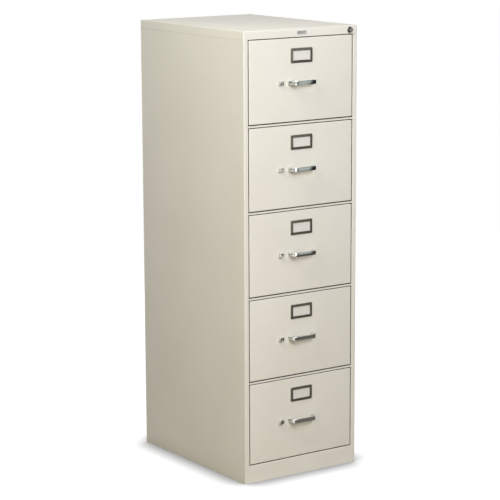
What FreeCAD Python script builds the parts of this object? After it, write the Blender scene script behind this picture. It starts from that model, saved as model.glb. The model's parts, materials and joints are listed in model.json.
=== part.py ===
"""Five-drawer vertical file cabinet, legal width, for folders that hang or stand in full-depth drawers.

Millimetres, +Z up. The drawers face -Y and X runs across the front. The origin is the centre of the
cabinet's box on the floor. Every drawer is carried on each side by a rail on the tray, a cradle and a
rail on the case, with nylon rollers in front and nylon guide shoes at the rear between them.
"""

import FreeCAD
import Part
import math
import os

V = FreeCAD.Vector

# Case
CASE_WIDTH = 463.55
CASE_DEPTH = 635.0
CASE_HEIGHT = 1524.0
DRAWER_COUNT = 5
TOP_RAIL = 28.2
FOOT_RAIL = 61.8
DIVIDER = 6.0
DIVIDER_DEPTH = 28.0
STILE = 17.775
STILE_RETURN = 14.0
REAR_FLANGE = 16.0
FLOOR_FLANGE = 20.0
TONGUE = 18.0
SEAM = 0.4
SHEET = 0.9
BEND = 2.4
CAP_BEND = 3.0
CORNER_PLATE = 75.0
CORNER_PLATE_THICK = 2.0
PLATE_MARGIN = 1.0
GLIDE_HOLE = 11.0
CUT_PAST = 1.0

# Drawer front and tray
FRONT_GAP = 3.0
PAN_DEPTH = 19.0
TRAY_SHEET = 0.8
TRAY_LENGTH = 590.0
TRAY_HEIGHT = 245.0
TRAY_LIFT = 8.0
TRAY_BACK_HEIGHT = 214.0
HEM = 7.0
FOLLOWER_SLOT = 14.0
FOLLOWER_TRAVEL = 400.0

# Follower block
FOLLOWER_FOOT = 70.0
FOLLOWER_HALF = 168.0
FOLLOWER_HEIGHT = 186.0
FOLLOWER_SHEET = 1.0
FOLLOWER_NECK = 12.0
FOLLOWER_GUSSET = 108.0

# Suspension, across the gap from the tray's side outwards
SLIDE_SPACE = 19.5
SIDE_PLAY = 0.5
LIP_PLAY = 1.0
CRADLE_WEB = 11.6
ROLLER_PLAY = 0.6
CASE_WEB_PLAY = 2.4
TIE_GAP = 4.0
RAIL_SHEET = 1.2
SLIDE_HEIGHT = 90.0
CHANNEL_INSIDE = 22.6
FRONT_ROLLER = 18.0
SHOE_HEIGHT = 22.0
SHOE_LENGTH = 24.0
SHOE_CORNER = 3.0
ROLLER_WIDTH = 8.0
RUNNING_GAP = 0.3
CRADLE_FLANGE = 9.8
CASE_RAIL_FLANGE = 10.2
RAIL_SETBACK = 28.0
ROLLER_INSET = 12.0
ROLLER_BAY = 26.0
DRAWER_RAIL_SKIRT = 3.0
UPRIGHT_FACE = 26.0
UPRIGHT_FOOT = 12.0
UPRIGHT_INSET = 40.0
UPRIGHT_TOP_GAP = 16.0

# Fittings on the drawer front, measured down from the middle of the gap above it
PULL_REACH = 30.0
PULL_DROP = 150.5
PULL_WIDTH = 108.0
PULL_BAR = 74.0
PULL_HEIGHT = 13.0
PULL_THICK = 6.5
PULL_FOOT = 10.0
PULL_TAPER = 3.0
PULL_BEND = 11.0
PULL_INNER_BEND = 6.0
PULL_CHAMFER = 1.8
LATCH_SIDE = 85.0
LATCH_WIDTH = 16.0
LATCH_REACH = 10.0
LATCH_BAR_HEIGHT = 10.0
LATCH_BAR_THICK = 2.0
LATCH_NECK = 5.0
LATCH_CHAMFER = 2.0
LATCH_BEVEL = 1.6
LATCH_SHUT = 4.0
LATCH_FREE = 2.5
STRIKE_CLEARANCE = 0.4
STRIKE_HEIGHT = 34.0
STRIKE_THICK = 2.0
LABEL_DROP = 62.5
LABEL_WIDTH = 88.0
LABEL_HEIGHT = 49.0
LABEL_BAR = 9.0
LABEL_THICK = 3.4
LABEL_CHAMFER = 1.4
CARD_POCKET = 1.2

# Lock
LOCK_INSET = 31.775
LOCK_DROP = 15.5
LOCK_BARREL = 21.0
LOCK_RIM = 2.0
LOCK_LENGTH = 24.0
PLUNGER = 16.0
PLUNGER_OUT = 7.0
PLUNGER_PLAY = 0.5
CORE = 11.0
KEYWAY_WIDTH = 2.0
KEYWAY_HEIGHT = 7.2
KEYWAY_DEPTH = 6.0
BORE_GAP = 0.3
BAR_THICK = 2.0
BAR_WIDTH = 12.4
BAR_SETBACK = 21.0
BAR_FROM_WALL = 1.5
BAR_HEAD = 4.0
TAB_HEIGHT = 16.0
TAB_JOGGLE = 3.0
TAB_LAP = 1.0
WEDGE_LENGTH = 12.0
WEDGE_BASE = 5.0
WEDGE_DROP = 9.0
ARM_THICK = 3.0
CATCH_HEIGHT = 200.0
CATCH_PLATE = 2.0

# What follows from the sizes above
HALF = CASE_WIDTH / 2
FRONT = (PULL_REACH - CASE_DEPTH) / 2
BACK = FRONT + CASE_DEPTH
OPENING_HALF = HALF - STILE
LOCK_SIDE = HALF - LOCK_INSET
OPENING_HEIGHT = (CASE_HEIGHT - TOP_RAIL - FOOT_RAIL - (DRAWER_COUNT - 1) * DIVIDER) / DRAWER_COUNT
PITCH = OPENING_HEIGHT + DIVIDER
SEAM_HEIGHT = CASE_HEIGHT - TOP_RAIL
FACE_HALF = OPENING_HALF - FRONT_GAP
TRAY_HALF = OPENING_HALF - SLIDE_SPACE
TRAY_FRONT = FRONT + PAN_DEPTH
TRAY_REAR = TRAY_FRONT + TRAY_SHEET + TRAY_LENGTH
RAIL_FRONT = FRONT + RAIL_SETBACK
CHANNEL_HALF = CHANNEL_INSIDE / 2
CHANNEL_OUTSIDE = CHANNEL_HALF + RAIL_SHEET
LIP_TOP = CHANNEL_HALF - RUNNING_GAP
LIP_BOTTOM = LIP_TOP - RAIL_SHEET
FRONT_ROLLER_RISE = LIP_BOTTOM - RUNNING_GAP - FRONT_ROLLER / 2
ROLLER_FRONT = RAIL_FRONT + ROLLER_INSET
SLIDE_REAR = TRAY_REAR - ROLLER_BAY / 2
DRAWER_RAIL_REAR = SLIDE_REAR - 2 * ROLLER_BAY

# Places across the suspension, each a distance outwards from the tray's side
LIP_REACH = SLIDE_SPACE - SIDE_PLAY
CRADLE_BACK = CRADLE_WEB + 2 * RAIL_SHEET
CRADLE_IN = CRADLE_WEB + RAIL_SHEET - CRADLE_FLANGE
INNER_ROLLER = CRADLE_WEB - LIP_PLAY - ROLLER_WIDTH
DRAWER_LIP = CRADLE_WEB - LIP_PLAY
OUTER_ROLLER = CRADLE_BACK + ROLLER_PLAY
CASE_WEB_OUT = OUTER_ROLLER + ROLLER_WIDTH + CASE_WEB_PLAY + RAIL_SHEET
LATCH_HEIGHT = PULL_DROP - FRONT_GAP / 2

# Levelling glide holes, from the case's outer faces to their centres
GLIDE_FROM_SIDE = FLOOR_FLANGE + GLIDE_HOLE
GLIDE_FROM_END = DIVIDER_DEPTH + 2 * SHEET + 0.6 * GLIDE_HOLE


def turned(axis, u, v, w):
    """The point (u, v) of a plane square to the axis, at w along the axis."""
    if axis == "x":
        return V(w, u, v)
    if axis == "y":
        return V(u, w, v)
    return V(u, v, w)


def rounded(points, radii):
    """A closed outline through the points, in the XY plane, each corner rounded by its own radius."""
    count = len(points)
    corners = [V(p[0], p[1], 0) for p in points]
    joints = []
    for i in range(count):
        here = corners[i]
        back = (corners[i - 1] - here)
        ahead = (corners[(i + 1) % count] - here)
        back.normalize()
        ahead.normalize()
        half_angle = back.getAngle(ahead) / 2
        if radii[i] < 0.01 or half_angle > math.pi / 2 - 0.001:
            joints.append((here, None, here))
            continue
        run = radii[i] / math.tan(half_angle)
        inward = back + ahead
        inward.normalize()
        centre = here + inward * (radii[i] / math.sin(half_angle))
        joints.append((here + back * run, centre - inward * radii[i], here + ahead * run))
    edges = []
    for i in range(count):
        start, middle, end = joints[i]
        if middle is not None:
            edges.append(Part.Arc(start, middle, end).toShape())
        following = joints[(i + 1) % count][0]
        if (following - end).Length > 0.001:
            edges.append(Part.LineSegment(end, following).toShape())
    return edges


def prism(points, radii, axis, start, end):
    """A rounded outline square to an axis, drawn out from start to end along it."""
    if not isinstance(radii, (list, tuple)):
        radii = [radii] * len(points)
    flat = Part.Face(Part.Wire(rounded(points, radii)))
    turns = {
        "x": FreeCAD.Rotation(V(1, 1, 1), 120),
        "y": FreeCAD.Rotation(V(1, 0, 0), 90),
        "z": FreeCAD.Rotation(),
    }
    flat.Placement = FreeCAD.Placement(turned(axis, 0, 0, start), turns[axis])
    return flat.extrude(turned(axis, 0, 0, end - start))


def folded(path, thickness, bend):
    """Outline and corner radii of bent sheet: the path is its outer face and the sheet lies to its left.

    A negative thickness puts the sheet to the right. The bend is the outer radius, one for all corners
    or one for each point of the path.
    """
    count = len(path)
    bends = bend if isinstance(bend, list) else [bend] * count
    normals = []
    for i in range(count - 1):
        along = V(path[i + 1][0] - path[i][0], path[i + 1][1] - path[i][1], 0)
        along.normalize()
        normals.append(V(-along.y, along.x, 0))
    inside = []
    radii = []
    inside_radii = []
    for i in range(count):
        before = normals[max(i - 1, 0)]
        after = normals[min(i, count - 2)]
        shift = (before + after) * (thickness / (1 + before.dot(after)))
        inside.append((path[i][0] + shift.x, path[i][1] + shift.y))
        outer_radius = 0 if i in (0, count - 1) else bends[i]
        inner_radius = max(outer_radius - abs(thickness), 0)
        if before.cross(after).z * thickness > 0:
            radii.append(outer_radius)
            inside_radii.append(inner_radius)
        else:
            radii.append(inner_radius)
            inside_radii.append(outer_radius)
    return path + inside[::-1], radii + inside_radii[::-1]


def sheet(path, thickness, bend, axis, start, end):
    """Bent sheet with a constant section along an axis."""
    points, radii = folded(path, thickness, bend)
    return prism(points, radii, axis, start, end)


def block(x, y, z):
    """A box from three pairs of limits."""
    return Part.makeBox(x[1] - x[0], y[1] - y[0], z[1] - z[0], V(x[0], y[0], z[0]))


def mirrored(shape):
    """The same piece on the other side of the cabinet."""
    return shape.mirror(V(0, 0, 0), V(1, 0, 0))


def save(name, *solids):
    """Writes one node from one or more solids."""
    pieces = []
    for shape in solids:
        pieces += shape.Solids
    node = pieces[0] if len(pieces) == 1 else Part.makeCompound(pieces)
    node.exportStep(os.path.join("parts", name + ".step"))


def opening_bottom(n):
    """Height of the bottom edge of drawer opening n, counted from the top."""
    return FOOT_RAIL + (DRAWER_COUNT - n) * PITCH


def opening_top(n):
    return opening_bottom(n) + OPENING_HEIGHT


def latch_centre(n):
    """Height of the pull and the thumb latch of drawer n."""
    return opening_top(n) - LATCH_HEIGHT


def slide_centre(n):
    return opening_bottom(n) + SLIDE_HEIGHT


def catch_bottom(n):
    return opening_bottom(n) + CATCH_HEIGHT


def across(distance):
    """X of a place in the right-hand suspension, from its distance outwards from the tray."""
    return TRAY_HALF + distance


def side_panel():
    """Right-hand side: stile with its return, and the wall with its rear flange and tongue for the cap.

    The two are welded edge to edge and ground flush, so that they meet without a gap.
    """
    weld = FRONT + STILE_RETURN
    rear = BACK - SHEET
    path = [(OPENING_HALF, weld), (OPENING_HALF, FRONT), (HALF, FRONT), (HALF, weld)]
    stile = sheet(path, SHEET, BEND, "z", 0, SEAM_HEIGHT - SEAM)
    path = [(HALF, weld), (HALF, rear), (HALF - REAR_FLANGE, rear)]
    wall = sheet(path, SHEET, BEND, "z", 0, SEAM_HEIGHT - SEAM)
    inner = (HALF - 2 * SHEET, HALF - SHEET)
    along = (weld + SEAM, rear - SHEET - CAP_BEND)
    tongue = block(inner, along, (SEAM_HEIGHT - TONGUE / 2, SEAM_HEIGHT + TONGUE))
    return stile, wall.fuse(tongue)


def back_panel():
    """Back sheet, lapped over the rear flanges, with a tongue inside the cap that the cap rests on."""
    top = SEAM_HEIGHT - SEAM
    half = HALF - SHEET - CAP_BEND
    wall = block((-half, half), (BACK - SHEET, BACK), (0, top))
    inner = BACK - SHEET
    high = CASE_HEIGHT - SHEET
    path = [(inner, top - TONGUE / 2), (inner, high), (inner - REAR_FLANGE, high)]
    half = HALF - REAR_FLANGE - SEAM
    tongue = sheet(path, SHEET, 0, "x", -half, half)
    return wall.fuse(tongue)


def top_cap():
    """Shallow pan with lips on all sides; its front lip is the top rail and holds the lock."""
    outer = block((-HALF, HALF), (FRONT, BACK), (SEAM_HEIGHT, CASE_HEIGHT))
    upper = [e for e in outer.Edges if e.BoundBox.ZMax > SEAM_HEIGHT + CUT_PAST]
    outer = outer.makeFillet(CAP_BEND, upper)
    x = (-HALF + SHEET, HALF - SHEET)
    y = (FRONT + SHEET, BACK - SHEET)
    hollow = block(x, y, (SEAM_HEIGHT - CUT_PAST, CASE_HEIGHT - SHEET))
    ledge = block(
        (-OPENING_HALF + SEAM, OPENING_HALF - SEAM),
        (FRONT + SHEET / 2, FRONT + STILE_RETURN),
        (SEAM_HEIGHT, SEAM_HEIGHT + SHEET),
    )
    bore = Part.makeCylinder(
        LOCK_BARREL / 2, 4 * SHEET, V(LOCK_SIDE, FRONT - SHEET, CASE_HEIGHT - LOCK_DROP), V(0, 1, 0)
    )
    return outer.cut(hollow).fuse(ledge).cut(bore)


def corner_plate(front):
    """Right-hand corner plate of the base, with the hole for a levelling glide."""
    edge = FRONT + STILE_RETURN + PLATE_MARGIN if front else BACK - SHEET - BEND
    reach = CORNER_PLATE if front else -CORNER_PLATE
    x = HALF - SHEET
    points = [(x, edge), (x, edge + reach), (x - CORNER_PLATE, edge)]
    plate = prism(points, 0, "z", SHEET, SHEET + CORNER_PLATE_THICK)
    centre = FRONT + GLIDE_FROM_END if front else BACK - GLIDE_FROM_END
    hole = Part.makeCylinder(
        GLIDE_HOLE / 2, 3 * CORNER_PLATE_THICK, V(HALF - GLIDE_FROM_SIDE, centre, 0)
    )
    return plate.cut(hole)


def floor_strip():
    """Right-hand strip along the foot of the wall, under the corner plates."""
    along = (FRONT + DIVIDER_DEPTH + SEAM, BACK - 2 * SHEET - CAP_BEND)
    return block((HALF - FLOOR_FLANGE, HALF - SHEET), along, (0, SHEET))


def base_frame():
    """Front base rail and rear cross member with their corner plates, and a strip along each wall."""
    deep = FRONT + DIVIDER_DEPTH
    path = [
        (deep, FOOT_RAIL - STILE_RETURN),
        (deep, FOOT_RAIL),
        (FRONT, FOOT_RAIL),
        (FRONT, 0),
        (deep, 0),
    ]
    front = sheet(path, SHEET, [0, 0, BEND, 0, 0], "x", -OPENING_HALF, OPENING_HALF)
    edge = BACK - SHEET
    path = [(edge - DIVIDER_DEPTH, 0), (edge, 0), (edge, FOOT_RAIL)]
    half = HALF - FLOOR_FLANGE - SEAM
    rear = sheet(path, SHEET, 0, "x", -half, half)
    plate = corner_plate(True)
    front = front.fuse([plate, mirrored(plate)])
    plate = corner_plate(False)
    rear = rear.fuse([plate, mirrored(plate)])
    return [front, rear] + both(floor_strip())


def divider_rail(n):
    """Channel across the front between drawer n and the one below it."""
    top = opening_bottom(n)
    deep = FRONT + DIVIDER_DEPTH
    path = [(deep, top), (FRONT, top), (FRONT, top - DIVIDER), (deep, top - DIVIDER)]
    return sheet(path, SHEET, 0, "x", -OPENING_HALF, OPENING_HALF)


def upright(start):
    """Right-hand hat-section post that carries the case rails, its front edge at start."""
    wall = HALF - SHEET
    face = across(CASE_WEB_OUT)
    path = [
        (wall, start + 2 * UPRIGHT_FOOT + UPRIGHT_FACE),
        (wall, start + UPRIGHT_FOOT + UPRIGHT_FACE),
        (face + RAIL_SHEET, start + UPRIGHT_FOOT + UPRIGHT_FACE),
        (face + RAIL_SHEET, start + UPRIGHT_FOOT),
        (wall, start + UPRIGHT_FOOT),
        (wall, start),
    ]
    low = SHEET + CORNER_PLATE_THICK
    return sheet(path, -RAIL_SHEET, 0, "z", low, SEAM_HEIGHT - UPRIGHT_TOP_GAP)


def case_rail(n):
    """Right-hand fixed channel, open towards the drawer."""
    z = slide_centre(n)
    out = across(CASE_WEB_OUT)
    lip = out - CASE_RAIL_FLANGE
    path = [
        (lip, z - CHANNEL_OUTSIDE),
        (out, z - CHANNEL_OUTSIDE),
        (out, z + CHANNEL_OUTSIDE),
        (lip, z + CHANNEL_OUTSIDE),
    ]
    return sheet(path, RAIL_SHEET, 0, "y", RAIL_FRONT, SLIDE_REAR)


def roller(diameter, inner, outer, y, z):
    """Nylon roller about an X axis, riveted to the web at one of its ends."""
    return Part.makeCylinder(diameter / 2, outer - inner, V(across(inner), y, z), V(1, 0, 0))


def shoe(inner, outer, y, z):
    """Nylon guide shoe at the rear of a rail, chamfered; it takes the uplift of an open drawer."""
    ends = (y - SHOE_LENGTH / 2, y + SHOE_LENGTH / 2)
    tall = SHOE_HEIGHT / 2
    cut = SHOE_CORNER
    points = [
        (ends[0] + cut, z - tall),
        (ends[1] - cut, z - tall),
        (ends[1], z - tall + cut),
        (ends[1], z + tall - cut),
        (ends[1] - cut, z + tall),
        (ends[0] + cut, z + tall),
        (ends[0], z + tall - cut),
        (ends[0], z - tall + cut),
    ]
    return prism(points, 0, "x", across(inner), across(outer))


def case_roller(n):
    """Right-hand roller at the front of the case rail; the cradle's outer lip rides on it."""
    z = slide_centre(n) + FRONT_ROLLER_RISE
    return roller(FRONT_ROLLER, OUTER_ROLLER, CASE_WEB_OUT - RAIL_SHEET, ROLLER_FRONT, z)


def cradle_channel(n):
    """Right-hand cradle member: a channel open to the tray, backed by an angle with the outer lip."""
    z = slide_centre(n)
    web = across(CRADLE_WEB + RAIL_SHEET)
    inner = across(CRADLE_IN)
    path = [
        (inner, z - CHANNEL_OUTSIDE),
        (web, z - CHANNEL_OUTSIDE),
        (web, z + CHANNEL_OUTSIDE),
        (inner, z + CHANNEL_OUTSIDE),
    ]
    channel = sheet(path, RAIL_SHEET, 0, "y", RAIL_FRONT, SLIDE_REAR)
    path = [
        (web, z - LIP_BOTTOM),
        (web, z + LIP_TOP),
        (across(LIP_REACH), z + LIP_TOP),
    ]
    angle = sheet(path, -RAIL_SHEET, 0, "y", RAIL_FRONT, SLIDE_REAR - ROLLER_BAY)
    return channel.fuse(angle)


def cradle_tie(n):
    """Cross tie behind the tray that joins the two cradle channels."""
    z = slide_centre(n)
    half = across(CRADLE_WEB)
    rear = TRAY_REAR + TIE_GAP
    front = SLIDE_REAR - ROLLER_BAY / 2
    path = [(half, front), (half, rear), (-half, rear), (-half, front)]
    return sheet(path, RAIL_SHEET, 0, "z", z - LIP_BOTTOM, z + LIP_BOTTOM)


def cradle_rollers(n):
    """Right-hand pair: front roller under the drawer rail, rear shoe inside the case rail."""
    z = slide_centre(n)
    front = roller(FRONT_ROLLER, INNER_ROLLER, CRADLE_WEB, ROLLER_FRONT, z + FRONT_ROLLER_RISE)
    outer = OUTER_ROLLER + ROLLER_WIDTH
    rear = shoe(CRADLE_WEB + RAIL_SHEET, outer, SLIDE_REAR - ROLLER_BAY / 2, z)
    return front, rear


def drawer_rail(n):
    """Right-hand rail on the tray, whose lip rides on the cradle's front roller, and its rear shoe."""
    z = slide_centre(n)
    side = across(0)
    bottom = z - CHANNEL_OUTSIDE - DRAWER_RAIL_SKIRT
    path = [(side, bottom), (side, z + LIP_TOP), (across(DRAWER_LIP), z + LIP_TOP)]
    start = TRAY_FRONT + TRAY_SHEET
    rail = sheet(path, -RAIL_SHEET, 0, "y", start, DRAWER_RAIL_REAR)
    bay = block(
        (across(RAIL_SHEET), across(SLIDE_SPACE)),
        (DRAWER_RAIL_REAR - ROLLER_BAY, DRAWER_RAIL_REAR + CUT_PAST),
        (bottom - CUT_PAST, z + CHANNEL_OUTSIDE),
    )
    outer = INNER_ROLLER + ROLLER_WIDTH
    guide = shoe(RAIL_SHEET, outer, DRAWER_RAIL_REAR - ROLLER_BAY / 2, z)
    return rail.cut(bay), guide


def drawer_front(n):
    """Pan with rounded edges, slots for the latch, and its flanges turned back to the tray."""
    low = opening_bottom(n) + FRONT_GAP
    high = opening_top(n) - FRONT_GAP
    outer = block((-FACE_HALF, FACE_HALF), (FRONT, TRAY_FRONT), (low, high))
    ahead = [e for e in outer.Edges if e.BoundBox.YMax < FRONT + CUT_PAST]
    outer = outer.makeFillet(BEND, ahead)
    x = (-FACE_HALF + SHEET, FACE_HALF - SHEET)
    hollow = block(x, (FRONT + SHEET, TRAY_FRONT + CUT_PAST), (low + SHEET, high - SHEET))
    z = latch_centre(n)
    play = STRIKE_CLEARANCE
    neck_slot = block(
        (
            -LATCH_SIDE - LATCH_NECK / 2 - LATCH_SHUT - play,
            -LATCH_SIDE + LATCH_NECK / 2 + LATCH_FREE + play,
        ),
        (FRONT - CUT_PAST, FRONT + 2 * SHEET),
        (z - LATCH_NECK / 2 - play, z + LATCH_NECK / 2 + play),
    )
    bar = latch_bar_depth()
    tip_slot = block(
        (-FACE_HALF - CUT_PAST, -FACE_HALF + 2 * SHEET),
        (bar[0] - play, bar[1] + play),
        (z - LATCH_BAR_HEIGHT / 2 - play, z + LATCH_BAR_HEIGHT / 2 + play),
    )
    return outer.cut(hollow).cut(neck_slot).cut(tip_slot)


def drawer_tray(n):
    """Welded tray: sides rolled in at the top, back, inner front wall and the slot for the follower."""
    low = opening_bottom(n) + TRAY_LIFT
    high = low + TRAY_HEIGHT
    half = TRAY_HALF
    start = TRAY_FRONT
    section = [
        (half - HEM, high - HEM),
        (half - HEM, high),
        (half, high),
        (half, low),
        (-half, low),
        (-half, high),
        (-half + HEM, high),
        (-half + HEM, high - HEM),
    ]
    body = sheet(section, -TRAY_SHEET, 0, "y", start + TRAY_SHEET, TRAY_REAR)
    back_top = low + TRAY_BACK_HEIGHT
    path = [(TRAY_REAR, low), (TRAY_REAR, back_top), (TRAY_REAR - HEM, back_top)]
    back = sheet(path, TRAY_SHEET, 0, "x", -half + TRAY_SHEET, half - TRAY_SHEET)
    margin = SHEET + FRONT_GAP
    inner_wall = block(
        (-FACE_HALF + SHEET, FACE_HALF - SHEET),
        (start, start + TRAY_SHEET),
        (opening_bottom(n) + margin, opening_top(n) - margin),
    )
    slot = block(
        (-FOLLOWER_SLOT / 2, FOLLOWER_SLOT / 2),
        (follower_face() - FOLLOWER_TRAVEL, follower_face() + FOLLOWER_FOOT),
        (low - CUT_PAST, low + 2 * TRAY_SHEET),
    )
    return body.fuse([back, inner_wall]).cut(slot)


def lock_catch(n):
    """Angle and stop plate behind the right end of the drawer front, which the lock bar's tab holds."""
    z = catch_bottom(n) + TAB_HEIGHT / 2
    wall = TRAY_FRONT + TRAY_SHEET
    tab = tab_depth()
    stop = tab[1] + CATCH_PLATE
    x = (OPENING_HALF - STILE_RETURN - TAB_LAP, OPENING_HALF - TAB_LAP)
    path = [(wall, z + TAB_HEIGHT), (wall, z), (stop, z)]
    angle = sheet(path, CATCH_PLATE, 0, "x", x[0], x[1])
    plate = block(x, (stop, stop + CATCH_PLATE), (catch_bottom(n), z + CATCH_PLATE))
    return angle, plate


def follower_face():
    """Y of the follower's front face at rest, at the back of the tray."""
    return TRAY_REAR - 2 * HEM - FOLLOWER_FOOT


def follower(n):
    """Follower block: flanged plate on a foot, with gussets and a clamp plate under the tray's slot."""
    floor = opening_bottom(n) + TRAY_LIFT
    low = floor + TRAY_SHEET + RUNNING_GAP
    face = follower_face()
    t = FOLLOWER_SHEET
    half = FOLLOWER_HALF
    path = [(half, face + 2 * HEM), (half, face), (-half, face), (-half, face + 2 * HEM)]
    plate = sheet(path, -t, 0, "z", low, low + FOLLOWER_HEIGHT)
    foot_half = FOLLOWER_FOOT / 2
    foot = block((-foot_half, foot_half), (face, face + FOLLOWER_FOOT), (low, low + 2 * t))
    gussets = []
    for side in (-foot_half, foot_half - t):
        points = [
            (face + t / 2, low + t),
            (face + FOLLOWER_FOOT, low + t),
            (face + t / 2, low + FOLLOWER_GUSSET),
        ]
        gussets.append(prism(points, 0, "x", side, side + t))
    neck = block(
        (-FOLLOWER_NECK / 2, FOLLOWER_NECK / 2),
        (face + 2 * HEM, face + FOLLOWER_FOOT - HEM),
        (floor - RUNNING_GAP - t / 2, low + t),
    )
    clamp = block(
        (-FOLLOWER_NECK, FOLLOWER_NECK),
        (face + HEM, face + FOLLOWER_FOOT - HEM),
        (floor - RUNNING_GAP - 2 * t, floor - RUNNING_GAP),
    )
    return plate.fuse([foot, neck, clamp] + gussets)


def pull(n):
    """Cast pull: a flat bar on two raked legs, bowed out from the front and rounded all over."""
    z = latch_centre(n)
    face = FRONT
    half = PULL_WIDTH / 2
    bar = PULL_BAR / 2
    out = face - PULL_REACH
    inside = out + PULL_THICK
    inner_bar = bar - PULL_TAPER
    points = [
        (-half, face),
        (-bar, out),
        (bar, out),
        (half, face),
        (half - PULL_FOOT, face),
        (inner_bar, inside),
        (-inner_bar, inside),
        (-half + PULL_FOOT, face),
    ]
    radii = [0, PULL_BEND, PULL_BEND, 0, 0, PULL_INNER_BEND, PULL_INNER_BEND, 0]
    body = prism(points, radii, "z", z - PULL_HEIGHT / 2, z + PULL_HEIGHT / 2)
    rims = []
    for edge in body.Edges:
        box = edge.BoundBox
        level = box.ZLength < 0.01
        outward = box.YMin < out + 0.01 or max(abs(box.XMin), abs(box.XMax)) > half - 0.01
        if level and outward and box.YMin < face - 0.5:
            rims.append(edge)
    return body.makeChamfer(PULL_CHAMFER, rims)


def label_holder(n):
    """Stamped frame with a raised rim round its window and a pocket for the card behind it."""
    z = opening_top(n) + FRONT_GAP / 2 - LABEL_DROP
    half = LABEL_WIDTH / 2
    tall = LABEL_HEIGHT / 2
    frame = block((-half, half), (FRONT - LABEL_THICK, FRONT), (z - tall, z + tall))
    outer = [e for e in frame.Edges if e.BoundBox.YMax < FRONT - CUT_PAST]
    frame = frame.makeChamfer(LABEL_CHAMFER, outer)
    window = block(
        (-half + LABEL_BAR, half - LABEL_BAR),
        (FRONT - 2 * LABEL_THICK, FRONT + CUT_PAST),
        (z - tall + LABEL_BAR, z + tall - LABEL_BAR),
    )
    pocket_edge = LABEL_BAR / 3
    pocket = block(
        (-half + pocket_edge, half - pocket_edge),
        (FRONT - CARD_POCKET, FRONT + CUT_PAST),
        (z - tall + pocket_edge, z + tall + CUT_PAST),
    )
    return frame.cut(window).cut(pocket)


def latch_bar_depth():
    """Y limits of the latch bar, just behind the stile's return."""
    near = FRONT + STILE_RETURN + STRIKE_CLEARANCE
    return near, near + LATCH_BAR_THICK


def latch(n):
    """Thumb latch: knob, neck through the drawer front, and the bar that runs to the left stile."""
    z = latch_centre(n)
    near, far = latch_bar_depth()
    tall = PULL_HEIGHT / 2
    side = -LATCH_SIDE
    knob = block(
        (side - LATCH_WIDTH / 2, side + LATCH_WIDTH / 2),
        (FRONT - LATCH_REACH, FRONT - STRIKE_CLEARANCE),
        (z - tall, z + tall),
    )
    ahead = [e for e in knob.Edges if e.BoundBox.YMax < FRONT - LATCH_REACH + 0.1]
    knob = knob.makeChamfer(LATCH_CHAMFER, ahead)
    neck = block(
        (side - LATCH_NECK / 2, side + LATCH_NECK / 2),
        (FRONT - CUT_PAST, near + LATCH_BAR_THICK / 2),
        (z - LATCH_NECK / 2, z + LATCH_NECK / 2),
    )
    tip = -OPENING_HALF + STRIKE_CLEARANCE
    points = [
        (tip, near),
        (side + LATCH_WIDTH, near),
        (side + LATCH_WIDTH, far),
        (tip + LATCH_BEVEL, far),
    ]
    bar = prism(points, 0, "z", z - LATCH_BAR_HEIGHT / 2, z + LATCH_BAR_HEIGHT / 2)
    return knob.fuse([neck, bar])


def latch_strike(n):
    """Hardened plate behind the left stile's return, which the latch bar's tip catches."""
    z = latch_centre(n)
    inner = -OPENING_HALF - SHEET
    return block(
        (inner - STRIKE_THICK, inner),
        (FRONT + BEND, FRONT + STILE_RETURN),
        (z - STRIKE_HEIGHT / 2, z + STRIKE_HEIGHT / 2),
    )


def lock_axis_height():
    return CASE_HEIGHT - LOCK_DROP


def tube(diameter, bore, start, end):
    """Ring about the lock's axis."""
    z = lock_axis_height()
    outer = Part.makeCylinder(diameter / 2, end - start, V(LOCK_SIDE, start, z), V(0, 1, 0))
    inner = Part.makeCylinder(bore / 2, end - start, V(LOCK_SIDE, start, z), V(0, 1, 0))
    return outer.cut(inner)


def lock_housing():
    """Lock barrel, through the top rail and a little proud of it."""
    return tube(LOCK_BARREL, PLUNGER + 2 * BORE_GAP, FRONT - LOCK_RIM, FRONT + LOCK_LENGTH)


def bar_depth():
    """Y limits of the lock bar's strip."""
    return FRONT + BAR_SETBACK, FRONT + BAR_SETBACK + BAR_THICK


def bar_side():
    """X limits of the lock bar's strip, between the stile's return and the case wall."""
    outer = HALF - SHEET - BAR_FROM_WALL
    return outer - BAR_WIDTH, outer


def tab_depth():
    """Y limits of the tabs that stand behind the strip."""
    start = bar_depth()[1] + TAB_JOGGLE
    return start, start + BAR_THICK


def ramp(y, lift):
    """Height of the 45-degree ramp between plunger and bar, at depth y, raised by lift."""
    middle = bar_depth()[1] + WEDGE_LENGTH / 2
    return lock_axis_height() - WEDGE_DROP - (y - middle) + lift


def lock_plunger():
    """Push plunger with a bore for the key core, and an arm that ends in the ramp under the lock bar."""
    z = lock_axis_height()
    start = FRONT - PLUNGER_OUT
    near = bar_depth()[1] + PLUNGER_PLAY
    far = near + WEDGE_LENGTH
    body = Part.makeCylinder(PLUNGER / 2, far - start, V(LOCK_SIDE, start, z), V(0, 1, 0))
    bore = Part.makeCylinder(CORE / 2 + BORE_GAP, LOCK_LENGTH, V(LOCK_SIDE, start, z), V(0, 1, 0))
    low = ramp(far, 0) - WEDGE_BASE
    side = bar_side()
    points = [
        (LOCK_SIDE - PLUNGER / 2, z + PLUNGER / 2),
        (LOCK_SIDE - PLUNGER / 2, low),
        (side[1], low),
        (side[1], low + ARM_THICK),
        (side[0] - BAR_THICK, low + ARM_THICK),
        (LOCK_SIDE + PLUNGER / 2, z),
        (LOCK_SIDE + PLUNGER / 2, z + PLUNGER / 2),
    ]
    arm = prism(points, 0, "y", far - ARM_THICK, far)
    wedge = prism(
        [(near, low), (far, low), (far, ramp(far, 0)), (near, ramp(near, 0))],
        0,
        "x",
        side[0] + TAB_LAP,
        side[1],
    )
    return body.cut(bore).fuse([arm, wedge])


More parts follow.
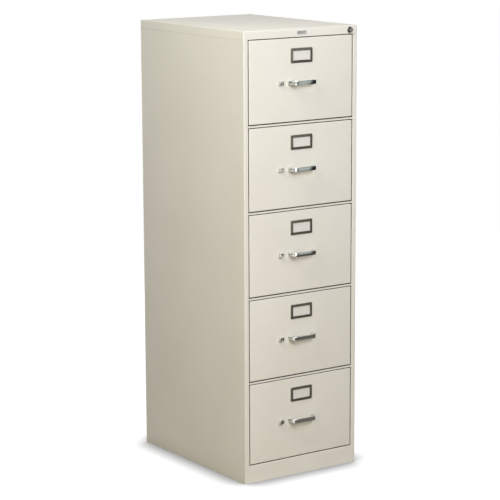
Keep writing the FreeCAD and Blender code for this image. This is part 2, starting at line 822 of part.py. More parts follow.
def lock_core():
    """Key core with its slot, turning inside the plunger."""
    z = lock_axis_height()
    start = FRONT - PLUNGER_OUT
    core = Part.makeCylinder(CORE / 2, LOCK_LENGTH - BORE_GAP, V(LOCK_SIDE, start, z), V(0, 1, 0))
    across_slot = (LOCK_SIDE - KEYWAY_WIDTH / 2, LOCK_SIDE + KEYWAY_WIDTH / 2)
    upright_slot = (z - KEYWAY_HEIGHT / 2, z + KEYWAY_HEIGHT / 2)
    slot = block(across_slot, (start - KEYWAY_DEPTH, start + KEYWAY_DEPTH), upright_slot)
    return core.cut(slot)


def lock_bar():
    """Strip behind the right stile with a sloped foot on the ramp, and one joggled tab per drawer."""
    near, far = bar_depth()
    side = bar_side()
    clear = BORE_GAP * math.sqrt(2)
    rear = far + WEDGE_LENGTH
    top = ramp(far, clear) + BAR_HEAD
    profile = [
        (near, catch_bottom(DRAWER_COUNT) - 3 * TAB_HEIGHT),
        (far, catch_bottom(DRAWER_COUNT) - 3 * TAB_HEIGHT),
        (far, ramp(far, clear)),
        (rear, ramp(rear, clear)),
        (rear, top),
        (near, top),
    ]
    strip = prism(profile, 0, "x", side[0], side[1])
    tabs = []
    tab = tab_depth()
    for n in range(1, DRAWER_COUNT + 1):
        path = [
            (side[1] - TAB_LAP, far),
            (side[0] + BAR_THICK, far),
            (side[0] + BAR_THICK, tab[0]),
            (OPENING_HALF - STILE_RETURN + TAB_LAP, tab[0]),
        ]
        high = catch_bottom(n) - TAB_LAP
        tabs.append(sheet(path, -BAR_THICK, 0, "z", high - TAB_HEIGHT, high))
    return [strip] + tabs


def bar_guide(z):
    """Channel on the right wall that keeps the lock bar's strip in line."""
    near, far = bar_depth()
    side = bar_side()
    wall = HALF - SHEET
    t = RAIL_SHEET
    path = [
        (side[0] + TAB_LAP, far + BORE_GAP + t),
        (wall, far + BORE_GAP + t),
        (wall, near - BORE_GAP - t),
        (side[0] + TAB_LAP, near - BORE_GAP - t),
    ]
    return sheet(path, -t, 0, "z", z - TAB_HEIGHT / 2, z + TAB_HEIGHT / 2)


def both(shape):
    """A right-hand piece and its mirror image."""
    return [shape, mirrored(shape)]


def build_case():
    """The fixed body, from its sheets to the lock."""
    numbers = range(1, DRAWER_COUNT + 1)
    right = side_panel()
    save("side_panel_right", *right)
    save("side_panel_left", *[mirrored(piece) for piece in right])
    save("back_panel", back_panel())
    save("top_cap", top_cap())
    save("base_frame", *base_frame())
    save("divider_rails", *[divider_rail(n) for n in numbers if n < DRAWER_COUNT])
    front_post = RAIL_FRONT + UPRIGHT_FOOT
    rear_post = SLIDE_REAR - UPRIGHT_INSET - 2 * UPRIGHT_FOOT - UPRIGHT_FACE
    save("uprights", *(both(upright(front_post)) + both(upright(rear_post))))
    rails = []
    rollers = []
    strikes = []
    for n in numbers:
        rails += both(case_rail(n))
        rollers += both(case_roller(n))
        strikes.append(latch_strike(n))
    save("case_rails", *rails)
    save("case_rollers", *rollers)
    save("latch_strikes", *strikes)
    save("lock_housing", lock_housing())
    save("lock_plunger", lock_plunger())
    save("lock_core", lock_core())
    save("lock_bar", *lock_bar())
    guides = [bar_guide(opening_top(n) - 2 * TAB_HEIGHT) for n in (1, 3, DRAWER_COUNT)]
    save("lock_bar_guides", *guides)


def build_drawer(n):
    """Everything that rides in drawer opening n."""
    name = "drawer_" + str(n)
    save(name + "_front", drawer_front(n))
    save(name + "_tray", drawer_tray(n), *lock_catch(n))
    rail, guide = drawer_rail(n)
    save(name + "_rails", *(both(rail) + both(guide)))
    save(name + "_pull", pull(n))
    save(name + "_label_holder", label_holder(n))
    save("latch_" + str(n), latch(n))
    save("follower_" + str(n), follower(n))
    save("cradle_" + str(n), *(both(cradle_channel(n)) + [cradle_tie(n)]))
    front, rear = cradle_rollers(n)
    save("cradle_" + str(n) + "_rollers", *(both(front) + both(rear)))


os.makedirs("parts", exist_ok=True)
build_case()
for number in range(1, DRAWER_COUNT + 1):
    build_drawer(number)
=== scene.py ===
"""Dress for the five-drawer vertical file cabinet.

Enamelled sheet, cast chrome pulls and thumb latches, card holders, lock and a bare badge plate.
"""

import json
import math

import bmesh
import bpy
from mathutils import Matrix, Vector

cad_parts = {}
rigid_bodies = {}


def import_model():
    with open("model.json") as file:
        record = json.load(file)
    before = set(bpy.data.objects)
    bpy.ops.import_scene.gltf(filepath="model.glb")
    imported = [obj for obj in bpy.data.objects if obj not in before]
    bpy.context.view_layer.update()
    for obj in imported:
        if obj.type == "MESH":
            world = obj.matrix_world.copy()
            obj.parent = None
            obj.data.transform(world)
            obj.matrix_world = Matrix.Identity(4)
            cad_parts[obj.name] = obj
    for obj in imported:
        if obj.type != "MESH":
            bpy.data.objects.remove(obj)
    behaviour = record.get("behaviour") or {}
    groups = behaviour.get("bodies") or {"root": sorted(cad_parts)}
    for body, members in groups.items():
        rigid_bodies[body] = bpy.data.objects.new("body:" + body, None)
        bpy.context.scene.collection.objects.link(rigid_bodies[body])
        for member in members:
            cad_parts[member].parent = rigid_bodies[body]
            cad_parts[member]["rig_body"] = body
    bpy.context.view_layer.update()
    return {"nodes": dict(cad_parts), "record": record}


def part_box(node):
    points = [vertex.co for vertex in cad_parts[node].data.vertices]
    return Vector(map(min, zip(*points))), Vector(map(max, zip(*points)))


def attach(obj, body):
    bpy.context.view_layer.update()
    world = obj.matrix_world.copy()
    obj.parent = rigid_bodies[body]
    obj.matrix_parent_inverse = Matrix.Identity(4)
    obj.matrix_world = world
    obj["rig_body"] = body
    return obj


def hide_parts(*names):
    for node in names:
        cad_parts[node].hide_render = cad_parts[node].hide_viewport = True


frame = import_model()

MM = 0.001
NUMBERS = range(1, 6)

# Places on the cabinet, in metres
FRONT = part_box("drawer_1_front")[0].y
CASE_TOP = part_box("top_cap")[1].z
LATCH_SIDE = -85 * MM
KNOB_REACH = 10 * MM
LOCK_SIDE = 200 * MM
LOCK_HEIGHT = CASE_TOP - 15.5 * MM
BADGE_SIDE = 1 * MM
BADGE_HEIGHT = CASE_TOP - 14.5 * MM

# Angles above which an edge stays crisp, in degrees
CRISP = 32
CRISP_CAST = 40

# Camera, from the corners of the cabinet in the photograph
CAMERA_PLACE = Vector((-3.86036, -5.58888, 2.03866))
CAMERA_YAW = 0.604394
CAMERA_PITCH = 0.189986
CAMERA_ROLL = -0.004025
CAMERA_LENS = 142.63
CAMERA_SENSOR = 36.0
CAMERA_FAR = 60.0

# Colours, linear
PUTTY = (0.668, 0.636, 0.556)
PUTTY_DARK = (0.618, 0.583, 0.500)
# paler putty for the edges: partly thinner paint, partly a painted edge highlight
PUTTY_EDGE_SHEEN = (0.770, 0.748, 0.685)
TRAY_SHADE = (0.53, 0.49, 0.41)
GAP_SHADE = (0.045, 0.038, 0.030)
CHROME = (0.72, 0.73, 0.71)
CHROME_HAZE = (0.60, 0.61, 0.59)
BRONZE = (0.135, 0.124, 0.095)
BRONZE_CLOUD = (0.175, 0.160, 0.125)
BRONZE_EDGE = (0.330, 0.305, 0.250)
ZINC = (0.47, 0.48, 0.48)
ZINC_SPANGLE = (0.38, 0.39, 0.395)
ZINC_EDGE = (0.66, 0.66, 0.65)
NYLON = (0.70, 0.68, 0.60)
NYLON_FLOW = (0.60, 0.575, 0.50)
DULL = (0.20, 0.20, 0.19)
DULL_DARK = (0.13, 0.13, 0.125)
NICKEL = (0.50, 0.495, 0.47)
NICKEL_TARNISH = (0.34, 0.335, 0.31)
BRASS = (0.46, 0.36, 0.18)
CARD = (0.625, 0.605, 0.545)
CARD_FIBRE = (0.575, 0.55, 0.485)
BADGE = (0.40, 0.395, 0.38)
BADGE_DARK = (0.31, 0.305, 0.29)


# Materials

# Sockets of the mix node that belong to its colour mode
MIX_FACTOR = 0
MIX_FIRST = 6
MIX_SECOND = 7
MIX_RESULT = 2


def put(tree, kind, **settings):
    """A node of a kind, its inputs set by name and its own settings by attribute."""
    node = tree.nodes.new(kind)
    for key, value in settings.items():
        name = key.replace("_", " ")
        if name in node.inputs:
            node.inputs[name].default_value = value
        else:
            setattr(node, key, value)
    return node


def join(tree, source, output, target, target_input):
    tree.links.new(source.outputs[output], target.inputs[target_input])


def object_points(tree, stretch=(1, 1, 1)):
    """Object coordinates, stretched along the axes for drawn or brushed finishes."""
    place = put(tree, "ShaderNodeTexCoord")
    mapping = put(tree, "ShaderNodeMapping", Scale=stretch)
    join(tree, place, "Object", mapping, "Vector")
    return mapping


def noise(tree, points, scale, detail, roughness):
    texture = put(tree, "ShaderNodeTexNoise", Scale=scale, Detail=detail, Roughness=roughness)
    join(tree, points, "Vector", texture, "Vector")
    return texture


def spread(tree, source, output, low, high, start=0.0, end=1.0):
    """A value that runs from low to high while the source's output runs from start to end."""
    node = put(tree, "ShaderNodeMapRange", From_Min=start, From_Max=end, To_Min=low, To_Max=high)
    join(tree, source, output, node, "Value")
    return node


def blend(tree, first, second, factor, factor_output=0):
    """Two colours, or a node's colour and another, mixed by a node's value."""
    node = put(tree, "ShaderNodeMix", data_type="RGBA")
    for index, colour in ((MIX_FIRST, first), (MIX_SECOND, second)):
        if isinstance(colour, tuple):
            node.inputs[index].default_value = colour + (1.0,)
        else:
            join(tree, colour, MIX_RESULT, node, index)
    join(tree, factor, factor_output, node, MIX_FACTOR)
    return node


def bumps(tree, layers):
    """Bump nodes in a chain: each layer is a noise, a strength and a depth in metres."""
    last = None
    for texture, strength, depth in layers:
        node = put(tree, "ShaderNodeBump", Strength=strength, Distance=depth)
        join(tree, texture, "Fac", node, "Height")
        if last is not None:
            join(tree, last, "Normal", node, "Normal")
        last = node
    return last


def edge_mask(tree, points, reach, low, high, grain):
    """1 along outer edges and corners, broken up by noise, and 0 on the flats."""
    bevel = put(tree, "ShaderNodeBevel", Radius=reach, samples=6)
    surface = put(tree, "ShaderNodeNewGeometry")
    dot = put(tree, "ShaderNodeVectorMath", operation="DOT_PRODUCT")
    join(tree, bevel, "Normal", dot, 0)
    join(tree, surface, "Normal", dot, 1)
    edge = spread(tree, dot, "Value", 1.0, 0.0, low, high)
    broken = spread(tree, noise(tree, points, grain, 5.0, 0.65), "Fac", 0.0, 1.0, 0.38, 0.62)
    both = put(tree, "ShaderNodeMath", operation="MULTIPLY")
    join(tree, edge, 0, both, 0)
    join(tree, broken, 0, both, 1)
    return both


def gap_shade_mask(tree, reach, low, high):
    """1 deep in gaps and seams, where shade is painted into the enamel, and 0 in the open."""
    shade = put(tree, "ShaderNodeAmbientOcclusion", Distance=reach, samples=8)
    return spread(tree, shade, "AO", 1.0, 0.0, low, high)


def new_material(name, metallic, ior=1.45):
    material = bpy.data.materials.new(name)
    material.use_nodes = True
    tree = material.node_tree
    shader = tree.nodes["Principled BSDF"]
    shader.inputs["Metallic"].default_value = metallic
    shader.inputs["IOR"].default_value = ior
    return material, tree, shader


def lead_in(tree, shader, colour, surface, rough):
    """A finish's colour, surface and roughness, led to its shader."""
    join(tree, colour, MIX_RESULT, shader, "Base Color")
    join(tree, surface, "Normal", shader, "Normal")
    join(tree, rough, 0, shader, "Roughness")


def enamel(name, body, shade, edge, gloss, scuffs):
    """Stoved enamel: faint mottling, orange peel, paler edges that are partly thinner paint and
    partly a painted highlight, and painted shade in the gaps.
    """
    material, tree, shader = new_material(name, 0.0, 1.5)
    points = object_points(tree)
    cloud = noise(tree, points, 3.2, 4.0, 0.5)
    tone = blend(tree, shade, body, spread(tree, cloud, "Fac", 0.45, 1.0, 0.30, 0.62))
    fine = noise(tree, points, 55.0, 5.0, 0.6)
    speck = blend(tree, tone, shade, spread(tree, fine, "Fac", 0.0, scuffs, 0.56, 0.74))
    # paler along the edges: partly thinner paint, partly a painted edge highlight
    edge_toned = blend(tree, speck, edge, edge_mask(tree, points, 1.1 * MM, 0.70, 0.97, 60.0))
    # painted shade: the enamel darkens towards GAP_SHADE deep in gaps and seams
    gap_shaded = blend(tree, edge_toned, GAP_SHADE, gap_shade_mask(tree, 14 * MM, 0.20, 0.52))
    peel = noise(tree, points, 620.0, 2.0, 0.45)
    wave = noise(tree, points, 6.0, 2.0, 0.4)
    surface = bumps(tree, [(wave, 0.25, 0.9 * MM), (peel, 0.35, 0.05 * MM)])
    rough = spread(tree, fine, "Fac", gloss - 0.05, gloss + 0.09, 0.3, 0.7)
    lead_in(tree, shader, gap_shaded, surface, rough)
    shader.inputs["Coat Weight"].default_value = 0.12
    shader.inputs["Coat Roughness"].default_value = 0.22
    return material


def chrome_plate():
    """Bright chrome on a polished casting, with hairline rubbing and a little haze."""
    material, tree, shader = new_material("bright chrome plate", 1.0)
    haze = noise(tree, object_points(tree), 90.0, 4.0, 0.6)
    tone = blend(tree, CHROME, CHROME_HAZE, spread(tree, haze, "Fac", 0.0, 0.4, 0.45, 0.7))
    hairlines = noise(tree, object_points(tree, (0.15, 1, 1)), 2600.0, 2.0, 0.5)
    surface = bumps(tree, [(hairlines, 0.08, 0.02 * MM)])
    lead_in(tree, shader, tone, surface, spread(tree, haze, "Fac", 0.045, 0.085, 0.35, 0.7))
    return material


def dark_bronze():
    """Oxidised bronze finish of the card holders, rubbed brighter on the rims."""
    material, tree, shader = new_material("dark bronze finish", 0.75)
    points = object_points(tree)
    cloud = noise(tree, points, 120.0, 4.0, 0.6)
    tone = blend(tree, BRONZE, BRONZE_CLOUD, spread(tree, cloud, "Fac", 0.0, 1.0, 0.35, 0.65))
    edge_toned = blend(tree, tone, BRONZE_EDGE, edge_mask(tree, points, 0.9 * MM, 0.60, 0.96, 150.0))
    surface = bumps(tree, [(noise(tree, points, 1500.0, 3.0, 0.5), 0.25, 0.03 * MM)])
    lead_in(tree, shader, edge_toned, surface, spread(tree, cloud, "Fac", 0.34, 0.52, 0.3, 0.7))
    return material


def zinc_plate():
    """Zinc on pressed steel: soft spangle, drawing lines along the run, bright rubbed edges."""
    material, tree, shader = new_material("zinc plated steel", 0.9)
    points = object_points(tree)
    spangle = put(tree, "ShaderNodeTexVoronoi", Scale=160.0)
    join(tree, points, "Vector", spangle, "Vector")
    tone = blend(tree, ZINC, ZINC_SPANGLE, spangle, "Distance")
    edge_toned = blend(tree, tone, ZINC_EDGE, edge_mask(tree, points, 0.6 * MM, 0.60, 0.96, 200.0))
    lines = noise(tree, object_points(tree, (1, 0.03, 1)), 1800.0, 2.0, 0.5)
    surface = bumps(tree, [(lines, 0.18, 0.03 * MM)])
    lead_in(tree, shader, edge_toned, surface, spread(tree, spangle, "Distance", 0.30, 0.50))
    return material


def moulded_nylon():
    """Cream nylon with a satin skin and a faint flow pattern."""
    material, tree, shader = new_material("moulded nylon", 0.0, 1.53)
    points = object_points(tree)
    flow = noise(tree, points, 180.0, 4.0, 0.55)
    tone = blend(tree, NYLON, NYLON_FLOW, spread(tree, flow, "Fac", 0.0, 1.0, 0.4, 0.7))
    surface = bumps(tree, [(noise(tree, points, 1400.0, 2.0, 0.5), 0.2, 0.03 * MM)])
    lead_in(tree, shader, tone, surface, spread(tree, flow, "Fac", 0.38, 0.52, 0.3, 0.7))
    return material


def dull_chrome():
    """Chrome of the lock barrel and plunger: thin and grey, rubbed brighter on the rims."""
    material, tree, shader = new_material("dull chrome plate", 1.0)
    points = object_points(tree)
    haze = noise(tree, points, 300.0, 4.0, 0.6)
    tone = blend(tree, DULL, DULL_DARK, spread(tree, haze, "Fac", 0.0, 1.0, 0.4, 0.7))
    edge_toned = blend(tree, tone, CHROME, edge_mask(tree, points, 0.4 * MM, 0.60, 0.95, 500.0))
    surface = bumps(tree, [(noise(tree, points, 2600.0, 2.0, 0.5), 0.12, 0.02 * MM)])
    lead_in(tree, shader, edge_toned, surface, spread(tree, haze, "Fac", 0.14, 0.26, 0.3, 0.7))
    return material


def key_core():
    """Key core: nickel on turned brass, dulled, with brass showing where keys have rubbed."""
    material, tree, shader = new_material("nickelled brass core", 1.0)
    points = object_points(tree)
    tarnish = noise(tree, points, 260.0, 4.0, 0.6)
    tone = blend(tree, NICKEL, NICKEL_TARNISH, spread(tree, tarnish, "Fac", 0.0, 1.0, 0.4, 0.7))
    edge_toned = blend(tree, tone, BRASS, edge_mask(tree, points, 0.5 * MM, 0.60, 0.95, 400.0))
    surface = bumps(tree, [(noise(tree, points, 2600.0, 2.0, 0.5), 0.15, 0.02 * MM)])
    lead_in(tree, shader, edge_toned, surface, spread(tree, tarnish, "Fac", 0.46, 0.60, 0.3, 0.7))
    return material


def blank_card():
    """Uncoated card stock with short fibres and soft shading."""
    material, tree, shader = new_material("blank card stock", 0.0, 1.4)
    fibre = noise(tree, object_points(tree, (1, 1, 0.35)), 1500.0, 5.0, 0.7)
    tone = blend(tree, CARD, CARD_FIBRE, spread(tree, fibre, "Fac", 0.0, 1.0, 0.42, 0.68))
    surface = bumps(tree, [(fibre, 0.3, 0.04 * MM)])
    lead_in(tree, shader, tone, surface, spread(tree, fibre, "Fac", 0.72, 0.88, 0.3, 0.7))
    return material


def brushed_plate():
    """Bare badge plate, brushed lengthways."""
    material, tree, shader = new_material("brushed grey plate", 0.35)
    lines = noise(tree, object_points(tree, (0.04, 1, 1)), 2200.0, 3.0, 0.6)
    tone = blend(tree, BADGE, BADGE_DARK, spread(tree, lines, "Fac", 0.0, 1.0, 0.35, 0.65))
    surface = bumps(tree, [(lines, 0.3, 0.03 * MM)])
    lead_in(tree, shader, tone, surface, spread(tree, lines, "Fac", 0.40, 0.56, 0.3, 0.7))
    return material


FINISH = {
    "case_paint": enamel("putty enamel", PUTTY, PUTTY_DARK, PUTTY_EDGE_SHEEN, 0.40, 0.30),
    "tray_paint": enamel("tray enamel", PUTTY_DARK, TRAY_SHADE, PUTTY, 0.46, 0.55),
    "chrome": chrome_plate(),
    "holder_bronze": dark_bronze(),
    "zinc_steel": zinc_plate(),
    "nylon": moulded_nylon(),
    "lock_chrome": dull_chrome(),
    "lock_brass": key_core(),
    "card": blank_card(),
    "badge": brushed_plate(),
}


# Making pieces

def placed(name, data):
    """A new object in the scene."""
    thing = bpy.data.objects.new(name, data)
    bpy.context.scene.collection.objects.link(thing)
    return thing


def settled(thing):
    """The plain mesh that an object's modifier makes; the object itself goes."""
    graph = bpy.context.evaluated_depsgraph_get()
    mesh = bpy.data.meshes.new_from_object(thing.evaluated_get(graph))
    bpy.data.objects.remove(thing)
    return mesh


def finished(name, mesh, body, slot, finish=None, degrees=CRISP):
    """A piece from a mesh, with its crisp edges, its finish (the slot's own unless another is
    named) and the body it rides on.
    """
    mesh.polygons.foreach_set("use_smooth", [True] * len(mesh.polygons))
    mesh.set_sharp_from_angle(angle=math.radians(degrees))
    mesh.materials.clear()
    mesh.materials.append(FINISH[finish or slot])
    piece = placed(name, mesh)
    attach(piece, body)
    return piece


def mesh_of(name, points, faces):
    """A mesh with its doubled points merged and its faces turned outwards."""
    mesh = bpy.data.meshes.new(name)
    mesh.from_pydata([tuple(p) for p in points], [], faces)
    shape = bmesh.new()
    shape.from_mesh(mesh)
    bmesh.ops.remove_doubles(shape, verts=shape.verts, dist=1e-7)
    bmesh.ops.recalc_face_normals(shape, faces=shape.faces)
    shape.to_mesh(mesh)
    shape.free()
    return mesh


def joined(name, parts):
    """One mesh from several lists of points and faces."""
    points = []
    faces = []
    for part_points, part_faces in parts:
        start = len(points)
        points += part_points
        faces += [[start + i for i in face] for face in part_faces]
    return mesh_of(name, points, faces)


def lofted(rings, capped=True):
    """Skin over rings of equally many points, closed at both ends where it is capped."""
    count = len(rings[0])
    points = [p for ring in rings for p in ring]
    last = len(points) - count
    faces = []
    for start in range(0, last, count):
        for i in range(count):
            j = (i + 1) % count
            faces.append([start + i, start + j, start + count + j, start + count + i])
    if capped:
        faces.append(list(range(count))[::-1])
        faces.append([last + i for i in range(count)])
    return points, faces


def arc(radius, start, steps):
    """Quarter of a circle from a start angle in degrees, as (across, up) pairs."""
    angles = [math.radians(start + 90 * step / steps) for step in range(steps + 1)]
    return [(radius * math.cos(angle), radius * math.sin(angle)) for angle in angles]


def facing_ring(middle, half, y, radius, steps=6):
    """A rectangle with round corners that faces the front, at depth y."""
    ring = []
    for side, rise, start in ((1, 1, 0), (-1, 1, 90), (-1, -1, 180), (1, -1, 270)):
        for u, w in arc(radius, start, steps):
            across = side * (half[0] - radius) + u
            up = rise * (half[1] - radius) + w
            ring.append(Vector((middle[0] + across, y, middle[1] + up)))
    return ring


def nested_rings(middle, half, profile, steps=6):
    """Facing rings about one middle; the profile gives each one's inset, y and corner radius."""
    return [
        facing_ring(middle, (half[0] - inset, half[1] - inset), y, radius, steps)
        for inset, y, radius in profile
    ]


def rolled_edge(front, roll, steps):
    """Quarter turn of an edge towards its front, as (inset, y) pairs."""
    angles = [math.radians(90 * step / steps) for step in range(steps + 1)]
    return [(roll * (1 - math.cos(a)), front + roll * (1 - math.sin(a))) for a in angles]


def turned_rings(centre, profile, steps=48):
    """Rings of lathe work about a Y axis; the profile gives each one's radius and y."""
    angles = [2 * math.pi * step / steps for step in range(steps)]
    return [
        [
            Vector((centre[0] + radius * math.cos(a), y, centre[1] + radius * math.sin(a)))
            for a in angles
        ]
        for radius, y in profile
    ]


def box_part(low, high, edge=0.3 * MM):
    """A block whose four long edges along Y, and both its ends, are eased."""
    middle = ((low[0] + high[0]) / 2, (low[2] + high[2]) / 2)
    half = ((high[0] - low[0]) / 2, (high[2] - low[2]) / 2)
    corner = edge * 1.2
    profile = [
        (edge, low[1], corner),
        (0, low[1] + edge, corner),
        (0, high[1] - edge, corner),
        (edge, high[1], corner),
    ]
    return lofted(nested_rings(middle, half, profile, 3))


def measured(name):
    """A node's lowest and highest corner, and its middle and half sizes seen from the front."""
    low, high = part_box(name)
    middle = ((low.x + high.x) / 2, (low.z + high.z) / 2)
    half = ((high.x - low.x) / 2, (high.z - low.z) / 2)
    return low, high, middle, half


def smoothed(name, slot, finish=None):
    """A node's own shape with its facets merged, so that its bends shade as bends."""
    node = frame["nodes"][name]
    shape = bmesh.new()
    shape.from_mesh(node.data)
    bmesh.ops.remove_doubles(shape, verts=shape.verts, dist=2e-6)
    bmesh.ops.dissolve_limit(
        shape, angle_limit=math.radians(0.5), verts=shape.verts, edges=shape.edges
    )
    mesh = bpy.data.meshes.new(name + "_bent")
    shape.to_mesh(mesh)
    shape.free()
    piece = finished(name + "_bent", mesh, node["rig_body"], slot, finish)
    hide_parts(name)


# The drawer's outside

def punched(mesh, slots):
    """The mesh with box-shaped slots cut out of it."""
    pan = placed("pan", mesh)
    parts = [box_part(low, high, 0.2 * MM) for low, high in slots]
    cutter = placed("punch", joined("punch", parts))
    modifier = pan.modifiers.new("punch", "BOOLEAN")
    modifier.operation = "DIFFERENCE"
    modifier.solver = "EXACT"
    modifier.object = cutter
    cut = settled(pan)
    bpy.data.objects.remove(cutter)
    return cut


def drawer_face(n):
    """Pan of the drawer front: rolled edges, small round corners, a return and two slots."""
    low, high, middle, half = measured(f"drawer_{n}_front")
    sheet = 0.9 * MM
    roll = 2.6 * MM
    corner = 3.2 * MM
    inside = [
        (roll, low.y + sheet, 1.2 * MM),
        (sheet, low.y + roll, corner - sheet),
        (sheet, high.y, corner - sheet),
    ]
    outside = [(0, high.y, corner)]
    for inset, y in rolled_edge(low.y, roll, 7):
        outside.append((inset, y, max(corner - inset * 0.6, 0.8 * MM)))
    name = f"drawer_{n}_face"
    pan = mesh_of(name, *lofted(nested_rings(middle, half, inside + outside)))
    z = measured(f"latch_{n}")[2][1]
    knob_slot = 2.9 * MM
    bar_slot = 5.4 * MM
    cut = punched(pan, [
        (
            (-92 * MM, FRONT - MM, z - knob_slot),
            (-79.6 * MM, FRONT + 2 * sheet, z + knob_slot),
        ),
        (
            (low.x - MM, FRONT + 14 * MM, z - bar_slot),
            (low.x + 2 * sheet, FRONT + 16.8 * MM, z + bar_slot),
        ),
    ])
    face = finished(name, cut, f"drawer_{n}", "case_paint", degrees=CRISP_CAST)
    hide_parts(f"drawer_{n}_front")


def rounded_path(corners, radius, steps):
    """An open path with round corners and the same number of points whatever the radius."""
    path = [Vector(corners[0])]
    for before, corner, after in zip(corners, corners[1:], corners[2:]):
        here = Vector(corner)
        back = (Vector(before) - here).normalized()
        ahead = (Vector(after) - here).normalized()
        half = back.angle(ahead) / 2
        run = radius / math.tan(half)
        centre = here + (back + ahead).normalized() * (radius / math.sin(half))
        first = here + back * run - centre
        last = here + ahead * run - centre
        whole = first.angle_signed(last)
        for step in range(steps + 1):
            path.append(centre + Matrix.Rotation(-whole * step / steps, 2) @ first)
    path.append(Vector(corners[-1]))
    return path


def bar_section(depth, tall, radius, crown):
    """Outline of the cast bar, as (across, up) pairs: crowned face, round edges, flat back."""
    top = []
    for side, start in ((1, 0), (-1, 90)):
        for u, w in arc(radius, start, 4):
            top.append((side * (depth - radius) + u, tall - radius + w))
    face = []
    for level in (0.75, 0.5, 0.25, 0, -0.25, -0.5, -0.75):
        face.append((-depth - crown * (1 - level * level), level * (tall - radius)))
    return top + face + [(u, -w) for u, w in reversed(top)]


def pull(n):
    """Cast pull: a crowned bar on two raked legs that widen into their feet."""
    low, _, (_, z), (half, half_height) = measured(f"drawer_{n}_pull")
    tall = half_height + 0.5 * MM
    bar = 41 * MM
    thick = 6.5 * MM
    foot = 10.5 * MM
    taper = 4 * MM
    out = low.y + 0.2 * MM
    back = out + thick
    outer = [(-half, FRONT), (-bar, out), (bar, out), (half, FRONT)]
    inner = [
        (-half + foot, FRONT),
        (-bar + taper, back),
        (bar - taper, back),
        (half - foot, FRONT),
    ]
    front_line = rounded_path(outer, 11 * MM, 14)
    back_line = rounded_path(inner, 6 * MM, 14)
    sections = []
    for ahead, behind in zip(front_line, back_line):
        across = behind - ahead
        depth = across.length / 2
        across.normalize()
        middle = (ahead + behind) / 2
        outline = bar_section(depth, tall, 1.1 * MM, 0.16 * MM)
        sections.append([
            Vector((middle.x + across.x * u, middle.y + across.y * u, z + w))
            for u, w in outline
        ])
    for point in sections[0] + sections[-1]:
        point.y = FRONT
    name = f"drawer_{n}_pull_cast"
    mesh = mesh_of(name, *lofted(sections))
    piece = finished(name, mesh, f"drawer_{n}", "chrome", degrees=CRISP_CAST)
    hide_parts(f"drawer_{n}_pull")


def knob_rings(z):
    """Thumb knob: a block with eased edges and a shallow dish in its face."""
    front = FRONT - KNOB_REACH
    back = FRONT - 0.4 * MM
    half = (8 * MM, 6.5 * MM)
    ease = 0.5 * MM
    corner = 1.8 * MM
    profile = [(ease, back, corner), (0, back - ease, corner)]
    for inset, y in rolled_edge(front, 1.0 * MM, 5):
        profile.append((inset, y, corner - inset * 0.5))
    for inset, dish in ((1.6, 0.10), (3.0, 0.28), (4.4, 0.40), (5.6, 0.46)):
        profile.append((inset * MM, front + dish * MM, (1.4 - inset * 0.12) * MM))
    return nested_rings((LATCH_SIDE, z), half, profile)


def thumb_latch(n):
    """Latch that slides in the drawer front: knob, neck and the bevelled bar behind the pan."""
    low, high, (_, z), _ = measured(f"latch_{n}")
    neck = 2.5 * MM
    tall = 5 * MM
    bevel = 1.6 * MM
    near = high.y - 2 * MM
    plan = [(low.x, near), (high.x, near), (high.x, high.y), (low.x + bevel, high.y)]
    name = f"latch_{n}_knob"
    mesh = joined(name, [
        lofted(knob_rings(z)),
        box_part(
            (LATCH_SIDE - neck, FRONT - MM, z - neck),
            (LATCH_SIDE + neck, high.y - 0.4 * MM, z + neck),
        ),
        lofted([[Vector((x, y, level)) for x, y in plan] for level in (z - tall, z + tall)]),
    ])
    piece = finished(name, mesh, f"latch_{n}", "chrome")
    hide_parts(f"latch_{n}")


def card_frame(n):
    """Stamped card holder: rounded outer edge, flat land, raised lip round the window."""
    low, _, middle, half = measured(f"drawer_{n}_label_holder")
    front = low.y
    pocket = FRONT - 1.2 * MM
    # Inset in mm, y, and corner radius in mm: outer edge, land, lip, window and card pocket
    profile = [
        (0.0, FRONT, 3.0),
        (0.0, front + 1.8 * MM, 3.0),
        (0.25, front + 1.1 * MM, 2.9),
        (0.8, front + 0.6 * MM, 2.6),
        (1.6, front + 0.45 * MM, 2.4),
        (5.4, front + 0.55 * MM, 2.0),
        (6.0, front + 0.25 * MM, 2.0),
        (6.7, front + 0.02 * MM, 1.8),
        (7.6, front + 0.05 * MM, 1.7),
        (8.4, front + 0.5 * MM, 1.6),
        (8.9, front + 1.2 * MM, 1.5),
        (8.9, pocket, 1.5),
        (3.2, pocket, 1.5),
        (3.2, FRONT, 1.5),
    ]
    rings = nested_rings(middle, half, [(i * MM, y, r * MM) for i, y, r in profile])
    name = f"drawer_{n}_card_frame"
    mesh = mesh_of(name, *lofted(rings + rings[:1], capped=False))
    piece = finished(name, mesh, f"drawer_{n}", "holder_bronze")
    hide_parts(f"drawer_{n}_label_holder")


def card(n):
    """Blank card in the holder's pocket, slightly bowed."""
    _, _, (x, z), half = measured(f"drawer_{n}_label_holder")
    margin = 4 * MM
    wide = half[0] - margin
    tall = half[1] - margin
    bow = 0.35 * MM
    columns = 12
    rings = []
    for i in range(columns + 1):
        place = i / columns * 2 - 1
        front = FRONT - 0.65 * MM - bow * (1 - place * place)
        back = front + 0.3 * MM
        rings.append([
            Vector((x + place * wide, y, z + level * tall))
            for y, level in ((front, -1), (front, 1), (back, 1), (back, -1))
        ])
    name = f"drawer_{n}_card"
    finished(name, mesh_of(name, *lofted(rings)), f"drawer_{n}", "case_paint", "card")


def base_weld():
    """Welds that close the joints between the base rail and the stiles, ground flush with both."""
    inner = 214 * MM
    outer = 216.5 * MM
    near = FRONT + 0.02 * MM
    far = FRONT + 2.4 * MM
    parts = []
    for left, right in ((-outer, -inner), (inner, outer)):
        parts.append(box_part((left, near, 0.2 * MM), (right, far, 60.2 * MM), 0.1 * MM))
    finished("base_weld", joined("base_weld", parts), "case", "case_paint")


# Lock and badge

